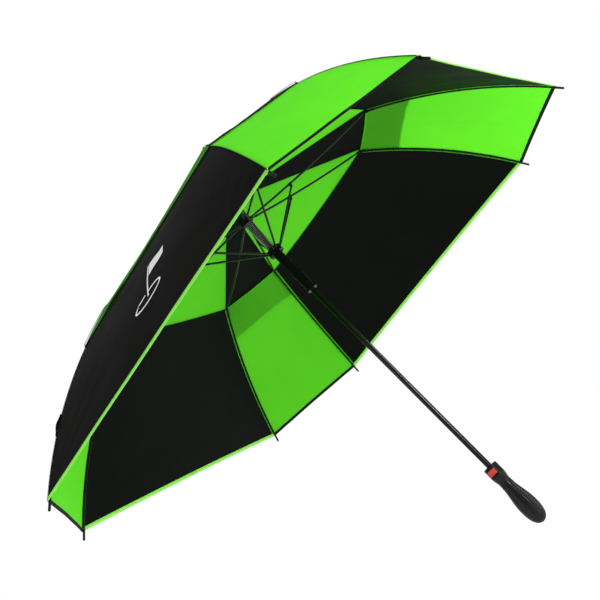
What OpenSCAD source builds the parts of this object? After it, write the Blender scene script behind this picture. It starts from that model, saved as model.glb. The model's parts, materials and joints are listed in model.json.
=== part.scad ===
// Golf umbrella: a two-tone double canopy with a wind vent, an eight-rib folding frame,
// a steel shaft with an automatic opening spring, and a moulded grip with a push button.
// The shaft stands along +Z with the ferrule up. The origin is on the shaft's axis, in the
// middle of the grip. Heights below are counted from the grip's lower end and moved last.

/* [Canopy] */
// Radius of the circle through the canopy's eight corners
canopy_r = 685; // [670:1:700]
// Height of the canopy's corners above the grip's lower end
rim_h = 609; // [600:1:620]
// Angle from the button's side to the first rib, half of a wide panel
first_rib = 32.4; // [28:0.1:36]
// Radius of the arc that a rib bends the lower canopy to
skirt_arc_r = 948; // [940:1:960]
// How far beyond the shaft's axis that arc is centred
skirt_arc_x = 58; // [50:1:64]
// Radius of the wind opening in the lower canopy
vent_r = 365; // [362:1:380]
// Radius of the hem of the vent cap that covers the opening
cap_r = 456; // [430:1:480]
// Height of the vent cap's middle above the grip's lower end
cap_h = 930.5; // [930:0.5:934]
// Slope of the vent cap from its middle, in degrees
cap_slope = 9.4; // [9:0.1:9.6]
// Space between the vent cap and the lower canopy at a rib
cap_lift = 4.5; // [4:0.5:8]
// Thickness of the canopy's cloth with its coating
cloth_t = 0.8; // [0.6:0.1:1]
// Sag of the lower canopy between two ribs, as a share of their distance
skirt_sag = 0.008; // [0:0.001:0.012]
// Sag of the vent cap between two ribs, as a share of their distance
cap_sag = 0.008; // [0:0.001:0.012]
// How far the vent cap's hem curves in between ribs that stand far apart
cap_curve = 30; // [0:1:40]
// How far the hem of a wide panel curves in between its corners
hem_curve = 4; // [0:1:16]

/* [Frame] */
// Radius of the rib hub's pivot wire ring
hub_pin_r = 13; // [12.5:0.1:14]
// Height of the rib hub's pivot wire above the grip's lower end
hub_pin_h = 866; // [864:1:868]
// Radius at which the stretcher joins the rib
clip_r = 127; // [120:1:134]
// Distance from the rib's centre down to the stretcher's pivot
clip_drop = 6; // [5.8:0.1:7]
// Radius at which the inner rib meets the outer rod
knee_r = 360; // [356:1:361]
// Dip of the inner rib between its ends
arm_dip = 5; // [3:0.5:7]
// Radius of the inner rib's bar
arm_bar_r = 1.75; // [1.5:0.05:1.9]
// Radius of the outer rib's rod
rod_bar_r = 2; // [1.6:0.1:2.2]
// Distance from the cloth's outer face to the rod's centre
rod_drop = 4.4; // [4.2:0.1:5]
// Length of a rib tip beyond the canopy's corner
tip_len = 18; // [12:1:24]
// Radius of a rib tip
tip_r = 2.5; // [2.3:0.1:2.8]
// Radius of the runner's stretcher pivots
runner_pin_r = 14; // [14:0.1:15]
// Height of the runner's stretcher pivots with the canopy open
runner_pin_h = 771; // [765:1:777]
// Height of the runner's lower end with the canopy open
runner_h = 650; // [640:1:670]

/* [Shaft] */
// Outer radius of the shaft's tube
shaft_r = 6; // [6:0.1:6.2]
// Wall of the shaft's tube
shaft_wall = 0.8; // [0.6:0.1:1]
// Height of the ferrule's end above the grip's lower end
ferrule_h = 985; // [970:1:1000]
// Radius of the ferrule's spike
spike_r = 4.5; // [4:0.1:5.5]
// Turns of the opening spring around the shaft
spring_turns = 24; // [12:1:28]

/* [Grip] */
// Length of the grip with its collar
grip_len = 141.5; // [138:0.5:144]
// Height of the collar at the top of the grip
collar_len = 23; // [22:0.5:25]
// Radius of the collar
collar_r = 15.3; // [15:0.1:16]
// Radius of the grip's neck
neck_r = 12.8; // [12:0.1:14]
// Height of the grip's neck above the lower end
neck_h = 101; // [96:1:106]
// Largest radius of the grip
palm_r = 20.3; // [18:0.1:22]
// Height of the grip's widest place above the lower end
palm_h = 38; // [34:1:44]
// Height of the release button's middle above the grip's lower end
button_h = 128.6; // [128:0.1:129.5]
// Height of the release button
button_len = 11.2; // [10:0.1:12]
// Width of the release button
button_w = 19.2; // [16:0.1:20]
// How far the release button stands out of the collar
button_proud = 1.4; // [1:0.1:2]

/* [Hidden] */
PANELS = [1:8];
function eight(word) = [for (i = PANELS) str(word, "_", i)];
$fn = 48;

black_plastic = [0.06, 0.06, 0.06];
black_steel = [0.10, 0.10, 0.10];
black_cloth = [0.05, 0.05, 0.05];
green_cloth = [0.35, 0.87, 0.20];
red_plastic = [0.78, 0.22, 0.17];

grip_mid = 66;

// Azimuths of the ribs: a wide panel faces each of +X, +Y, -X and -Y, a narrow one lies between
function az(i) = let (k = i - 1) 90 * floor(k / 2) + (k % 2 == 0 ? first_rib : 90 - first_rib);
function gap_of(i) = az(i + 1) - az(i);
function is_wide(i) = gap_of(i) > 45;
function mix(a, b, t) = a + (b - a) * t;
function bow(t) = 4 * t * (1 - t);
function at(azimuth, r, z) = [r * cos(azimuth), r * sin(azimuth), z];

// The lower canopy's arc at a rib, in the rib's own plane: angles are from the vertical
skirt_arc_h = rim_h - sqrt(pow(skirt_arc_r, 2) - pow(canopy_r + skirt_arc_x, 2));
function arc_r(a, inset = 0) = (skirt_arc_r - inset) * sin(a) - skirt_arc_x;
function arc_z(a, inset = 0) = (skirt_arc_r - inset) * cos(a) + skirt_arc_h;
function arc_angle(r, inset = 0) = asin((r + skirt_arc_x) / (skirt_arc_r - inset));
rim_a = arc_angle(canopy_r);
vent_a = arc_angle(vent_r);
knee_a = arc_angle(knee_r, rod_drop);
knee_h = arc_z(knee_a, rod_drop);

// A millimetre along that arc, in degrees
arc_mm = 180 / (PI * skirt_arc_r);
seam_gap = 0.35;
skirt_across = 8;
skirt_along = 6;
cap_across = 6;
cap_along = 8;
cap_hole_r = 9;
cap_round = 1.2;
// Rows of the vent cap's grid on each side of this radius, just inside the ribs' knees
cap_turn_r = knee_r - 24;
cap_inner_rows = 4;

function hem_of(i) = is_wide(i) ? hem_curve : hem_curve * 0.4;
function cap_hem_of(i) = is_wide(i) ? cap_curve : cap_curve * 0.15;
function inward(azimuth, a) = -at(azimuth, sin(a), cos(a));
function chord(i, r) = 2 * r * sin(gap_of(i) / 2);
function seam_t(i, r, t) = let (e = seam_gap / chord(i, r)) mix(e, 1 - e, t);
function ruled(i, r, z, t) = mix(at(az(i), r, z), at(az(i + 1), r, z), seam_t(i, r, t));

// A point of the lower canopy: s runs from the wind opening to the hem, t from rib to rib
function skirt_angle(i, s, t) =
    mix(vent_a + hem_of(i) * 0.8 * arc_mm * bow(t), rim_a - hem_of(i) * arc_mm * bow(t), s);
function skirt_point(i, s, t, depth = 0) =
    let (a = skirt_angle(i, s, t), r = arc_r(a))
    ruled(i, r, arc_z(a), t)
    + inward(az(i) + gap_of(i) / 2, a) * (depth + skirt_sag * chord(i, r) * bow(t));

// The vent cap's profile at a rib: a cone that rounds off to follow the lower canopy
function cap_z(r) =
    let (cone = cap_h - (r - cap_hole_r) * tan(cap_slope),
         cover = arc_z(arc_angle(r)) + cap_lift)
    -cap_round * ln(exp((cap_h - cone) / cap_round) + exp((cap_h - cover) / cap_round)) + cap_h;
function cap_angle(r) = atan((cap_z(r - 1) - cap_z(r + 1)) / 2);
function cap_row(j) = j < cap_inner_rows
    ? mix(cap_hole_r, cap_turn_r, j / cap_inner_rows)
    : mix(cap_turn_r, cap_r, (j - cap_inner_rows) / (cap_along - cap_inner_rows));
function cap_point(i, j, t, depth = 0) =
    let (r = cap_row(j) - cap_hem_of(i) * bow(t) * j / cap_along)
    ruled(i, r, cap_z(r), t)
    + inward(az(i) + gap_of(i) / 2, cap_angle(r)) * (depth + cap_sag * chord(i, r) * bow(t));

// A closed sheet from a grid of outer points followed by the same grid of inner points
module sheet_of(points, rows, columns) {
    function p(side, j, k) = (side * (rows + 1) + j) * (columns + 1) + k;
    outer = [for (j = [0:rows - 1], k = [0:columns - 1])
        each [[p(0, j, k), p(0, j, k + 1), p(0, j + 1, k + 1)],
              [p(0, j, k), p(0, j + 1, k + 1), p(0, j + 1, k)]]];
    inner = [for (j = [0:rows - 1], k = [0:columns - 1])
        each [[p(1, j, k), p(1, j + 1, k + 1), p(1, j, k + 1)],
              [p(1, j, k), p(1, j + 1, k), p(1, j + 1, k + 1)]]];
    ends = [for (j = [0:rows - 1])
        each [[p(0, j, 0), p(0, j + 1, 0), p(1, j + 1, 0)],
              [p(0, j, 0), p(1, j + 1, 0), p(1, j, 0)],
              [p(0, j, columns), p(1, j + 1, columns), p(0, j + 1, columns)],
              [p(0, j, columns), p(1, j, columns), p(1, j + 1, columns)]]];
    hems = [for (k = [0:columns - 1])
        each [[p(0, 0, k), p(1, 0, k + 1), p(0, 0, k + 1)],
              [p(0, 0, k), p(1, 0, k), p(1, 0, k + 1)],
              [p(0, rows, k), p(0, rows, k + 1), p(1, rows, k + 1)],
              [p(0, rows, k), p(1, rows, k + 1), p(1, rows, k)]]];
    polyhedron(points, concat(outer, inner, ends, hems), convexity = 4);
}

// A wire wound round the Z axis, as rings of points along a helix
module coil(mean_r, wire_r, length, turns, steps = 12, sides = 5) {
    rings = turns * steps;
    function middle(n) = at(n * 360 / steps, mean_r, length * n / rings);
    function ring(n) = let (a = n * 360 / steps)
        [for (m = [0:sides - 1]) let (b = m * 360 / sides)
            middle(n) + at(a, wire_r * cos(b), wire_r * sin(b))];
    points = [for (n = [0:rings]) each ring(n)];
    walls = [for (n = [0:rings - 1], m = [0:sides - 1])
        let (q = (m + 1) % sides, low = n * sides, high = low + sides)
        each [[low + m, high + m, high + q], [low + m, high + q, low + q]]];
    polyhedron(points, concat(walls, [[for (m = [0:sides - 1]) m]],
        [[for (m = [sides - 1:-1:0]) rings * sides + m]]), convexity = 10);
}

module place() translate([0, 0, -grip_mid]) children();
module at_rib(i) place() rotate([0, 0, az(i)]) children();
module disc(r, width) rotate([90, 0, 0]) cylinder(r = r, h = width, center = true);
module bar(r, from, to) translate([from, 0, 0]) rotate([0, 90, 0]) cylinder(r = r, h = to - from);
module flat_bar(from, to, width, height)
    translate([from, -width / 2, -height / 2]) cube([to - from, width, height]);

/* Shaft and head */
shaft_foot = 8;
shaft_top = 940;
window_h = 493;
window_len = 14;
window_w = 3.4;
stem_r = 2;

module shaft_tube() color(black_steel) place() difference() {
    translate([0, 0, shaft_foot]) cylinder(r = shaft_r, h = shaft_top - shaft_foot);
    translate([0, 0, shaft_foot - 1]) cylinder(r = shaft_r - shaft_wall, h = shaft_top);
    translate([0, 0, button_h]) bar(stem_r + 0.3, 0, shaft_r + 1);
    translate([-shaft_r - 1, -window_w / 2, window_h]) cube([shaft_r, window_w, window_len]);
}

module ferrule() color(black_plastic) place() difference() {
    rotate_extrude() polygon([
        [0, cap_h + 1.5], [16, cap_h + 1.5], [16, cap_h + 3], [13, cap_h + 5.5],
        [8.5, cap_h + 10], [6.4, cap_h + 16], [spike_r, cap_h + 20],
        for (a = [0:15:90]) [spike_r * cos(a), ferrule_h - spike_r + spike_r * sin(a)]]);
    translate([0, 0, cap_h]) cylinder(r = shaft_r, h = shaft_top - cap_h);
}

/* Rib hub */
hub_r = 15;
hub_foot = 859;
hub_top = 873;
slot_w = 3;
wire_r = 0.7;
eye_r = 3;
eye_w = 2.4;

module wire_ring(r)
    translate([0, 0, hub_pin_h]) rotate_extrude() translate([hub_pin_r, 0]) circle(r = r);

module rib_hub() color(black_plastic) place() difference() {
    union() {
        translate([0, 0, hub_foot]) cylinder(r = hub_r, h = hub_top - hub_foot);
        translate([0, 0, hub_top]) cylinder(r = 9, h = 12);
    }
    translate([0, 0, hub_foot - 1]) cylinder(r = shaft_r, h = hub_top - hub_foot + 14);
    wire_ring(wire_r + 0.02);
    for (i = PANELS) rotate([0, 0, az(i)])
        translate([hub_pin_r - eye_r - 0.5, -slot_w / 2, hub_foot - 1])
            cube([hub_r, slot_w, hub_pin_h + eye_r + 2 - hub_foot]);
}

module hub_wire() color(black_steel) place() wire_ring(wire_r);

/* Inner rib with the stretcher's clip */
flat_len = 9;
clip_len = 12;
clip_sleeve_r = 2.9;
pivot_r = 1;
pivot_gap = 0.05;
tab_w = 2.5;
tab_r = 2.6;
ear_w = 0.9;
ear_gap = 0.15;
arm_span = knee_r - hub_pin_r;
arm_drop = hub_pin_h - knee_h;
arm_chord = norm([arm_span, arm_drop]);
arm_tilt = atan(arm_drop / arm_span);
arm_arc_r = (pow(arm_chord / 2, 2) + pow(arm_dip, 2)) / (2 * arm_dip);
function arm_low(x) = arm_arc_r - arm_dip - sqrt(pow(arm_arc_r, 2) - pow(x - arm_chord / 2, 2));
clip_x = clip_r - hub_pin_r;
clip_h = hub_pin_h - clip_x * tan(arm_tilt) + arm_low(clip_x) - clip_drop;

// The bent bar between two distances from the hub's pivot, measured along its chord
module arm_bar(r, from, to)
    translate([arm_chord / 2, 0, arm_arc_r - arm_dip]) rotate([90, 0, 0])
        rotate([0, 0, 270 + asin((from - arm_chord / 2) / arm_arc_r)])
            rotate_extrude(angle = asin((to - arm_chord / 2) / arm_arc_r)
                - asin((from - arm_chord / 2) / arm_arc_r))
                translate([arm_arc_r, 0]) circle(r = r);

module rib_arm(i) color(black_steel) at_rib(i) {
    translate([hub_pin_r, 0, hub_pin_h]) rotate([0, arm_tilt, 0]) difference() {
        union() {
            disc(eye_r, eye_w);
            flat_bar(0, flat_len, eye_w, 2 * arm_bar_r);
            arm_bar(arm_bar_r, flat_len - 1, arm_chord - flat_len + 1);
            arm_bar(clip_sleeve_r, clip_x - clip_len / 2, clip_x + clip_len / 2);
            translate([arm_chord, 0, 0]) {
                flat_bar(-flat_len, 0, eye_w, 2 * arm_bar_r);
                disc(eye_r, eye_w);
            }
        }
        disc(wire_r + 0.1, 2 * eye_w);
        translate([arm_chord, 0, 0]) disc(pivot_r + pivot_gap, 2 * eye_w);
    }
    translate([clip_r, 0, clip_h]) {
        for (side = [-1, 1]) translate([0, side * (tab_w + 2 * ear_gap + ear_w) / 2, 0]) {
            disc(tab_r, ear_w);
            translate([-tab_r, -ear_w / 2, 0]) cube([2 * tab_r, ear_w, clip_drop - 1]);
        }
        disc(pivot_r, tab_w + 2 * (ear_gap + ear_w));
    }
}

/* Outer rib */
fork_len = 8;
fork_w = 1;
fork_gap = 0.2;

module rod_bar(r, from_a, to_a)
    translate([-skirt_arc_x, 0, skirt_arc_h]) rotate([90, 0, 0]) rotate([0, 0, 90 - to_a])
        rotate_extrude(angle = to_a - from_a) translate([skirt_arc_r - rod_drop, 0]) circle(r = r);

module rib_rod(i) color(black_plastic) at_rib(i) {
    rod_bar(rod_bar_r, knee_a + 5 * arc_mm, rim_a);
    rod_bar(rod_bar_r + 0.6, knee_a + 5 * arc_mm, knee_a + 20 * arc_mm);
    translate([knee_r, 0, knee_h]) rotate([0, knee_a, 0]) {
        for (side = [-1, 1]) translate([0, side * (eye_w / 2 + fork_gap + fork_w / 2), 0]) {
            disc(eye_r, fork_w);
            flat_bar(0, fork_len, fork_w, 5);
        }
        disc(pivot_r, eye_w + 2 * (fork_gap + fork_w));
    }
}

/* Rib tip */
socket_len = 6;

module rib_tip(i) color(black_plastic) at_rib(i)
    translate([arc_r(rim_a, rod_drop), 0, arc_z(rim_a, rod_drop)]) rotate([0, rim_a, 0]) difference() {
        union() {
            bar(tip_r, -socket_len, tip_len - tip_r);
            translate([tip_len - tip_r, 0, 0]) sphere(r = tip_r);
        }
        bar(rod_bar_r + 0.03, -socket_len - 1, 0);
    }

/* Stretcher */
stretch_a = atan2(runner_pin_h - clip_h, runner_pin_r - clip_r);
stretch_len = norm([runner_pin_h - clip_h, runner_pin_r - clip_r]);
stretch_bar_r = 1.9;
stretch_flat = 9;
runner_tab_r = 2.8;

module stretcher(i) color(black_steel) at_rib(i)
    translate([clip_r, 0, clip_h]) rotate([0, -stretch_a, 0]) difference() {
        union() {
            disc(tab_r, tab_w);
            flat_bar(0, stretch_flat, tab_w, 4);
            bar(stretch_bar_r, stretch_flat - 1, stretch_len - stretch_flat + 1);
            translate([stretch_len, 0, 0]) {
                flat_bar(-stretch_flat, 0, tab_w, 4);
                disc(runner_tab_r, tab_w);
            }
        }
        disc(pivot_r + pivot_gap, 2 * tab_w);
        translate([stretch_len, 0, 0]) disc(pivot_r, 2 * tab_w);
    }

/* Runner and the spring above it */
runner_r = 10.5;
crown_r = 17.5;
crown_len = 14;
runner_top = runner_pin_h + 5;
runner_slot_w = 3.2;

module runner() color(black_plastic) place() difference() {
    union() {
        translate([0, 0, runner_h]) cylinder(r = runner_r, h = runner_top - runner_h);
        translate([0, 0, runner_top - crown_len]) cylinder(r = crown_r, h = crown_len);
        translate([0, 0, runner_h]) cylinder(r = runner_r + 1.5, h = 5);
        for (n = [0:4]) translate([0, 0, runner_h + 14 + 7 * n])
            cylinder(r = runner_r + 0.7, h = 3);
    }
    translate([0, 0, runner_h - 1]) cylinder(r = shaft_r + 0.08, h = runner_top - runner_h + 2);
    translate([0, 0, runner_h + 5]) cylinder(r = shaft_r + 1.4, h = 11);
    for (i = PANELS) rotate([0, 0, az(i)])
        translate([runner_r + 0.3, -runner_slot_w / 2, runner_top - crown_len - 1])
            cube([crown_r, runner_slot_w, crown_len + 2]);
}

spring_wire_r = 0.7;
spring_r = 9;
spring_foot = runner_top + spring_wire_r + 0.3;

module opening_spring() color(black_steel) place() translate([0, 0, spring_foot])
    coil(spring_r, spring_wire_r, hub_foot - spring_foot - spring_wire_r - 0.3, spring_turns);

/* Grip, collar and release */
shell_r = 9.2;
pad_r = 12.2;
stem_end = 4.2;
pocket_gap = 0.3;
collar_foot = grip_len - collar_len;

// The grip's outline: a blunt bulb, a long taper to the neck, and a flare up to the collar
function bulb(z) = palm_r * pow(1 - pow((palm_h - z) / palm_h, 2.3), 1 / 2.3);
function taper(z) = mix(palm_r, neck_r, (1 - cos(180 * (z - palm_h) / (neck_h - palm_h))) / 2);
function flare(z) = mix(neck_r, collar_r, (1 - cos(180 * (z - neck_h) / (collar_foot - neck_h))) / 2);

module grip() color(black_plastic) place() difference() {
    rotate_extrude() polygon([
        [0, 0], for (a = [10:10:80]) let (z = palm_h * (1 - cos(a))) [bulb(z), z],
        for (n = [0:9]) let (z = mix(palm_h, neck_h, n / 9)) [taper(z), z],
        for (n = [1:4]) let (z = mix(neck_h, collar_foot, n / 4)) [flare(z), z],
        [0, collar_foot]]);
    translate([0, 0, shaft_foot]) cylinder(r = shaft_r, h = grip_len);
}

module ring_pad(inner, outer, width, height) intersection() {
    difference() {
        cylinder(r = outer, h = height, center = true);
        cylinder(r = inner, h = height + 2, center = true);
    }
    translate([0, -width / 2, -height]) cube([2 * outer, width, 2 * height]);
}

module grip_collar() color(black_plastic) place() difference() {
    rotate_extrude() polygon([
        [0, collar_foot], [collar_r, collar_foot], [collar_r, grip_len - 1.5],
        [collar_r - 1.5, grip_len], [0, grip_len]]);
    translate([0, 0, collar_foot - 1]) cylinder(r = shaft_r, h = collar_len + 2);
    translate([0, 0, button_h])
        ring_pad(shell_r, collar_r + 2, button_w + 2 * pocket_gap, button_len + 2 * pocket_gap);
    translate([0, 0, button_h]) bar(stem_r + 0.2, 0, collar_r);
}

module release_button() color(red_plastic) place() translate([0, 0, button_h]) {
    ring_pad(pad_r, collar_r + button_proud, button_w, button_len);
    bar(stem_r, stem_end, pad_r + 1);
}

module button_spring() color(black_steel) place() translate([shell_r + 0.35, 0, button_h])
    rotate([0, 90, 0]) coil(3.1, 0.3, pad_r - shell_r - 0.75, 2, 12);

// A push rod on a cone: the button's stem lifts it, and its nose lets the runner go
module release_rod() color(black_steel) place() {
    translate([0, 0, button_h]) {
        cylinder(r1 = 0.3, r2 = 4.4, h = 4.1);
        translate([0, 0, 4.1]) cylinder(r = 4.4, h = 5);
    }
    translate([0, 0, button_h + 9]) cylinder(r = 1.5, h = window_h + 9 - button_h - 9);
    translate([-shaft_r + 0.4, -1.5, window_h + 1]) cube([shaft_r - 0.4, 3, 8]);
}

/* Closure strap, folded back beside the eighth rib */
strap_panel = 7;
strap_s = 0.66;
strap_t = 0.93;
strap_len = 52;
strap_width = 24;
strap_thick = 5.5;
strap_clear = 1.4;

module closure_strap() color(black_cloth) place()
    translate(skirt_point(strap_panel, strap_s, strap_t, -(strap_thick / 2 + strap_clear)))
        rotate([0, 0, az(strap_panel) + gap_of(strap_panel) / 2])
            rotate([0, skirt_angle(strap_panel, strap_s, strap_t), 0])
                cube([strap_len, strap_width, strap_thick], center = true);

/* Canopy */
module canopy_panel(i) color(is_wide(i) ? black_cloth : green_cloth) place()
    sheet_of([for (depth = [0, cloth_t], j = [0:skirt_along], k = [0:skirt_across])
        skirt_point(i, j / skirt_along, k / skirt_across, depth)], skirt_along, skirt_across);

module vent_panel(i) color(is_wide(i) ? green_cloth : black_cloth) place()
    sheet_of([for (depth = [0, cloth_t], j = [0:cap_along], k = [0:cap_across])
        cap_point(i, j, k / cap_across, depth)], cap_along, cap_across);

shaft_tube();
ferrule();
rib_hub();
hub_wire();
opening_spring();
runner();
release_rod();
grip();
grip_collar();
release_button();
button_spring();
closure_strap();
for (i = PANELS) {
    rib_arm(i);
    rib_rod(i);
    rib_tip(i);
    stretcher(i);
    canopy_panel(i);
    vent_panel(i);
}
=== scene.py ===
"""Looks of the golf umbrella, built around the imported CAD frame. Metres, +Z up, origin on the shaft's
axis in the middle of the grip. Heights named *_h are counted from the grip's lower end."""

import json
from math import asin, atan, atan2, cos, degrees, hypot, pi, radians, sin, sqrt, tan

import bpy
import numpy as np
from mathutils import Matrix, Vector


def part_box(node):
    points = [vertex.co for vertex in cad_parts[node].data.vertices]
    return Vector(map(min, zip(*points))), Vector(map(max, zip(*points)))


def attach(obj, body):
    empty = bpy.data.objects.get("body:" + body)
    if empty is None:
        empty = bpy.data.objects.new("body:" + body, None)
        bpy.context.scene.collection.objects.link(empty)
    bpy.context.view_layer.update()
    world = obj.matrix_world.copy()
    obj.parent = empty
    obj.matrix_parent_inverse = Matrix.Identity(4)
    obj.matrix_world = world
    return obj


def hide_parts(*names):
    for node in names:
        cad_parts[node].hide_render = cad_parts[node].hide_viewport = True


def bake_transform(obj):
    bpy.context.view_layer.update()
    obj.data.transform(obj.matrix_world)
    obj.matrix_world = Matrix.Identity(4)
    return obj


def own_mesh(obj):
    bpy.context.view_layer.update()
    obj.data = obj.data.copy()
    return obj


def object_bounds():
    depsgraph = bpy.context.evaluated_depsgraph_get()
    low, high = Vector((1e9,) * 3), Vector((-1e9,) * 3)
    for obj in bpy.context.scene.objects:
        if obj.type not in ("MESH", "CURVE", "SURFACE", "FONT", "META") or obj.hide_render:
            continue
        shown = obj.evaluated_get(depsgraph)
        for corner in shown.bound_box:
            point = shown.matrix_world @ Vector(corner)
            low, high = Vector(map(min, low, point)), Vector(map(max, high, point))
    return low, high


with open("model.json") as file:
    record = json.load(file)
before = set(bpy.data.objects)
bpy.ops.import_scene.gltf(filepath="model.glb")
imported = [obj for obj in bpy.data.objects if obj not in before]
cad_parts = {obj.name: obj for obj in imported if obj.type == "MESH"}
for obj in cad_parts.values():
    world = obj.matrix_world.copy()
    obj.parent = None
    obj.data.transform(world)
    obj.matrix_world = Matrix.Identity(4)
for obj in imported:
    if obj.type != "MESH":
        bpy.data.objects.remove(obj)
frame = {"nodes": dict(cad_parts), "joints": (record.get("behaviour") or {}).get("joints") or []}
cad_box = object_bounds()
MM = 0.001

# ---------------------------------------------------------------- dimensions shared with the design
GRIP_MID = 66 * MM
PANELS = range(1, 9)
CANOPY_R = 685 * MM
RIM_H = 609 * MM
ARC_R = 948 * MM
ARC_X = 58 * MM
VENT_R = 365 * MM
CAP_R = 456 * MM
CAP_H = 930.5 * MM
CAP_SLOPE = radians(9.4)
CAP_LIFT = 4.5 * MM
CAP_HOLE_R = 9 * MM
CAP_ROUND = 1.2 * MM
# How far the middle of a wide gore's edge is cut back, and the share of it for the other edges.
HEM_CURVE = 4 * MM
CAP_CURVE = 30 * MM
NARROW_HEM_SHARE, NARROW_CAP_SHARE, VENT_EDGE_SHARE = 0.4, 0.15, 0.8
EVEN_GAP = radians(360 / 8)
ROD_DROP = 4.4 * MM
CLOTH_DEPTH = 0.4 * MM
# Sag of the cloth, as a share of the gore's width, and the share of it that the tight hem takes away.
SKIRT_SAG = 0.008
CAP_SAG = 0.008
HEM_TAUT = 0.75

JOINTS = {joint["name"]: joint for joint in frame["joints"]}
KNEE_R = float(np.hypot(*JOINTS["rod_1_flex"]["pos_m"][:2]))
RIB_AZIMUTHS = [
    degrees(atan2(-JOINTS[f"rib_{i}_fold"]["axis"][0], JOINTS[f"rib_{i}_fold"]["axis"][1])) % 360
    for i in PANELS]

ARC_H = RIM_H - sqrt(ARC_R**2 - (CANOPY_R + ARC_X) ** 2)
RIM_A = asin((CANOPY_R + ARC_X) / ARC_R)
VENT_A = asin((VENT_R + ARC_X) / ARC_R)


def azimuth(i):
    """Azimuth of rib i in degrees. Rib 9 is rib 1 again, a full turn on."""
    return RIB_AZIMUTHS[(i - 1) % 8] + (360 if i > 8 else 0)


def rib_name(i):
    return (i - 1) % 8 + 1


def gap_of(i):
    return radians(azimuth(i + 1) - azimuth(i))


def is_wide(i):
    return gap_of(i) > EVEN_GAP


def hem_of(i):
    return HEM_CURVE if is_wide(i) else NARROW_HEM_SHARE * HEM_CURVE


def cap_hem_of(i):
    return CAP_CURVE if is_wide(i) else NARROW_CAP_SHARE * CAP_CURVE


def bow(t):
    return 4 * t * (1 - t)


def at(angle_deg, r, h):
    """Points at an azimuth, a radius and a height above the grip's lower end."""
    a = np.radians(angle_deg)
    return np.stack(np.broadcast_arrays(r * np.cos(a), r * np.sin(a), h - GRIP_MID), axis=-1)


def radial(i):
    a = radians(azimuth(i))
    return np.array([cos(a), sin(a), 0.0])


def tangent(i):
    a = radians(azimuth(i))
    return np.array([-sin(a), cos(a), 0.0])


# ---------------------------------------------------------------- the two canopies as surfaces
def arc_r(a, inset=0.0):
    return (ARC_R - inset) * np.sin(a) - ARC_X


def arc_z(a, inset=0.0):
    return (ARC_R - inset) * np.cos(a) + ARC_H


def arc_angle(r):
    return np.arcsin((r + ARC_X) / ARC_R)


def ruled(i, r, h, t):
    """Between rib i (t 0) and rib i+1 (t 1), at the same radius and height on both."""
    t = np.asarray(t)[..., None]
    return at(azimuth(i), r, h) * (1 - t) + at(azimuth(i + 1), r, h) * t


def middle_normal(i, a):
    """Outward normal of the cloth in the middle of gore i, where its slope is a."""
    m = radians(azimuth(i)) + gap_of(i) / 2
    return np.stack([np.sin(a) * cos(m), np.sin(a) * sin(m), np.cos(a)], axis=-1)


# The skirt's folds: rays from each hem corner, two sets of long waves, and a crease down the gore's middle.
RAY_HEIGHT, RAY_TURNS = 1.1 * MM, 17
RAY_REACH, RAY_START = 130 * MM, 50 * MM
WAVE_HEIGHT, WAVE_LENGTH = 0.5 * MM, 145 * MM
SWELL_HEIGHT, SWELL_LENGTH, SWELL_ACROSS = 0.35 * MM, 310 * MM, 2.3
CREASE_HEIGHT, CREASE_WIDTH = 0.8 * MM, 2.6 * MM
# Towards the wind opening the folds calm down, to FOLDS_LEAST of their height.
FOLDS_FROM, FOLDS_RISE, FOLDS_LEAST = 0.15, 0.2, 0.15


def folds(i, along, t, width, length):
    """Height of the cloth's small folds. along is the distance up from the hem."""
    height = np.zeros(np.shape(t))
    for side, across in enumerate((t * width, (1 - t) * width)):
        reach = np.hypot(across, along)
        turn = np.arctan2(across, np.maximum(along, 1e-6))
        strength = np.exp(-reach / RAY_REACH) * np.clip(reach / RAY_START, 0, 1)
        strength = strength * np.sin(np.clip(2 * turn, 0, pi))
        height += RAY_HEIGHT * strength * np.sin(RAY_TURNS * turn + 1.3 * i + 0.7 * side)
    height += WAVE_HEIGHT * bow(t) * np.sin(2 * pi * (along / WAVE_LENGTH + 0.37 * i) + 3 * t)
    height += SWELL_HEIGHT * bow(t) * np.sin(2 * pi * (SWELL_ACROSS * t + along / SWELL_LENGTH + 0.21 * i))
    crease = CREASE_HEIGHT * np.exp(-np.abs(t - 0.5) * width / CREASE_WIDTH)
    return height + crease * np.clip(along / length * 4, 0, 1)


def skirt_point(i, s, t, lift=0.0):
    """Lower canopy: s 0 at the wind opening, 1 at the hem; t 0 at rib i, 1 at rib i+1."""
    s, t = np.broadcast_arrays(np.asarray(s, float), np.asarray(t, float))
    inner = VENT_A + hem_of(i) * VENT_EDGE_SHARE / ARC_R * bow(t)
    outer = RIM_A - hem_of(i) / ARC_R * bow(t)
    a = inner + (outer - inner) * s
    r = arc_r(a)
    width = 2 * r * sin(gap_of(i) / 2)
    along = (outer - a) * ARC_R
    out = lift - CLOTH_DEPTH - SKIRT_SAG * width * bow(t) * (1 - HEM_TAUT * s**2)
    liveliness = np.clip((s - FOLDS_FROM) / FOLDS_RISE, FOLDS_LEAST, 1)
    out = out + folds(i, along, t, width, (RIM_A - VENT_A) * ARC_R) * liveliness
    return ruled(i, r, arc_z(a), t) + middle_normal(i, a) * np.asarray(out)[..., None]


def cap_z(r):
    """Height of the vent cap: a cone that rounds over into a cover just above the skirt's arc."""
    cone = CAP_H - (r - CAP_HOLE_R) * tan(CAP_SLOPE)
    cover = arc_z(arc_angle(r)) + CAP_LIFT
    drops = [np.exp((CAP_H - height) / CAP_ROUND) for height in (cone, cover)]
    return CAP_H - CAP_ROUND * np.log(drops[0] + drops[1])


# The vent cap's folds: ripples that start away from the crown, and a crease down the gore's middle.
RIPPLE_HEIGHT, RIPPLE_LENGTH = 0.5 * MM, 170 * MM
CAP_CREASE_HEIGHT, CAP_CREASE_WIDTH = 0.4 * MM, 3 * MM
CAP_STILL_R, CAP_RISE = 50 * MM, 200 * MM
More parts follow.
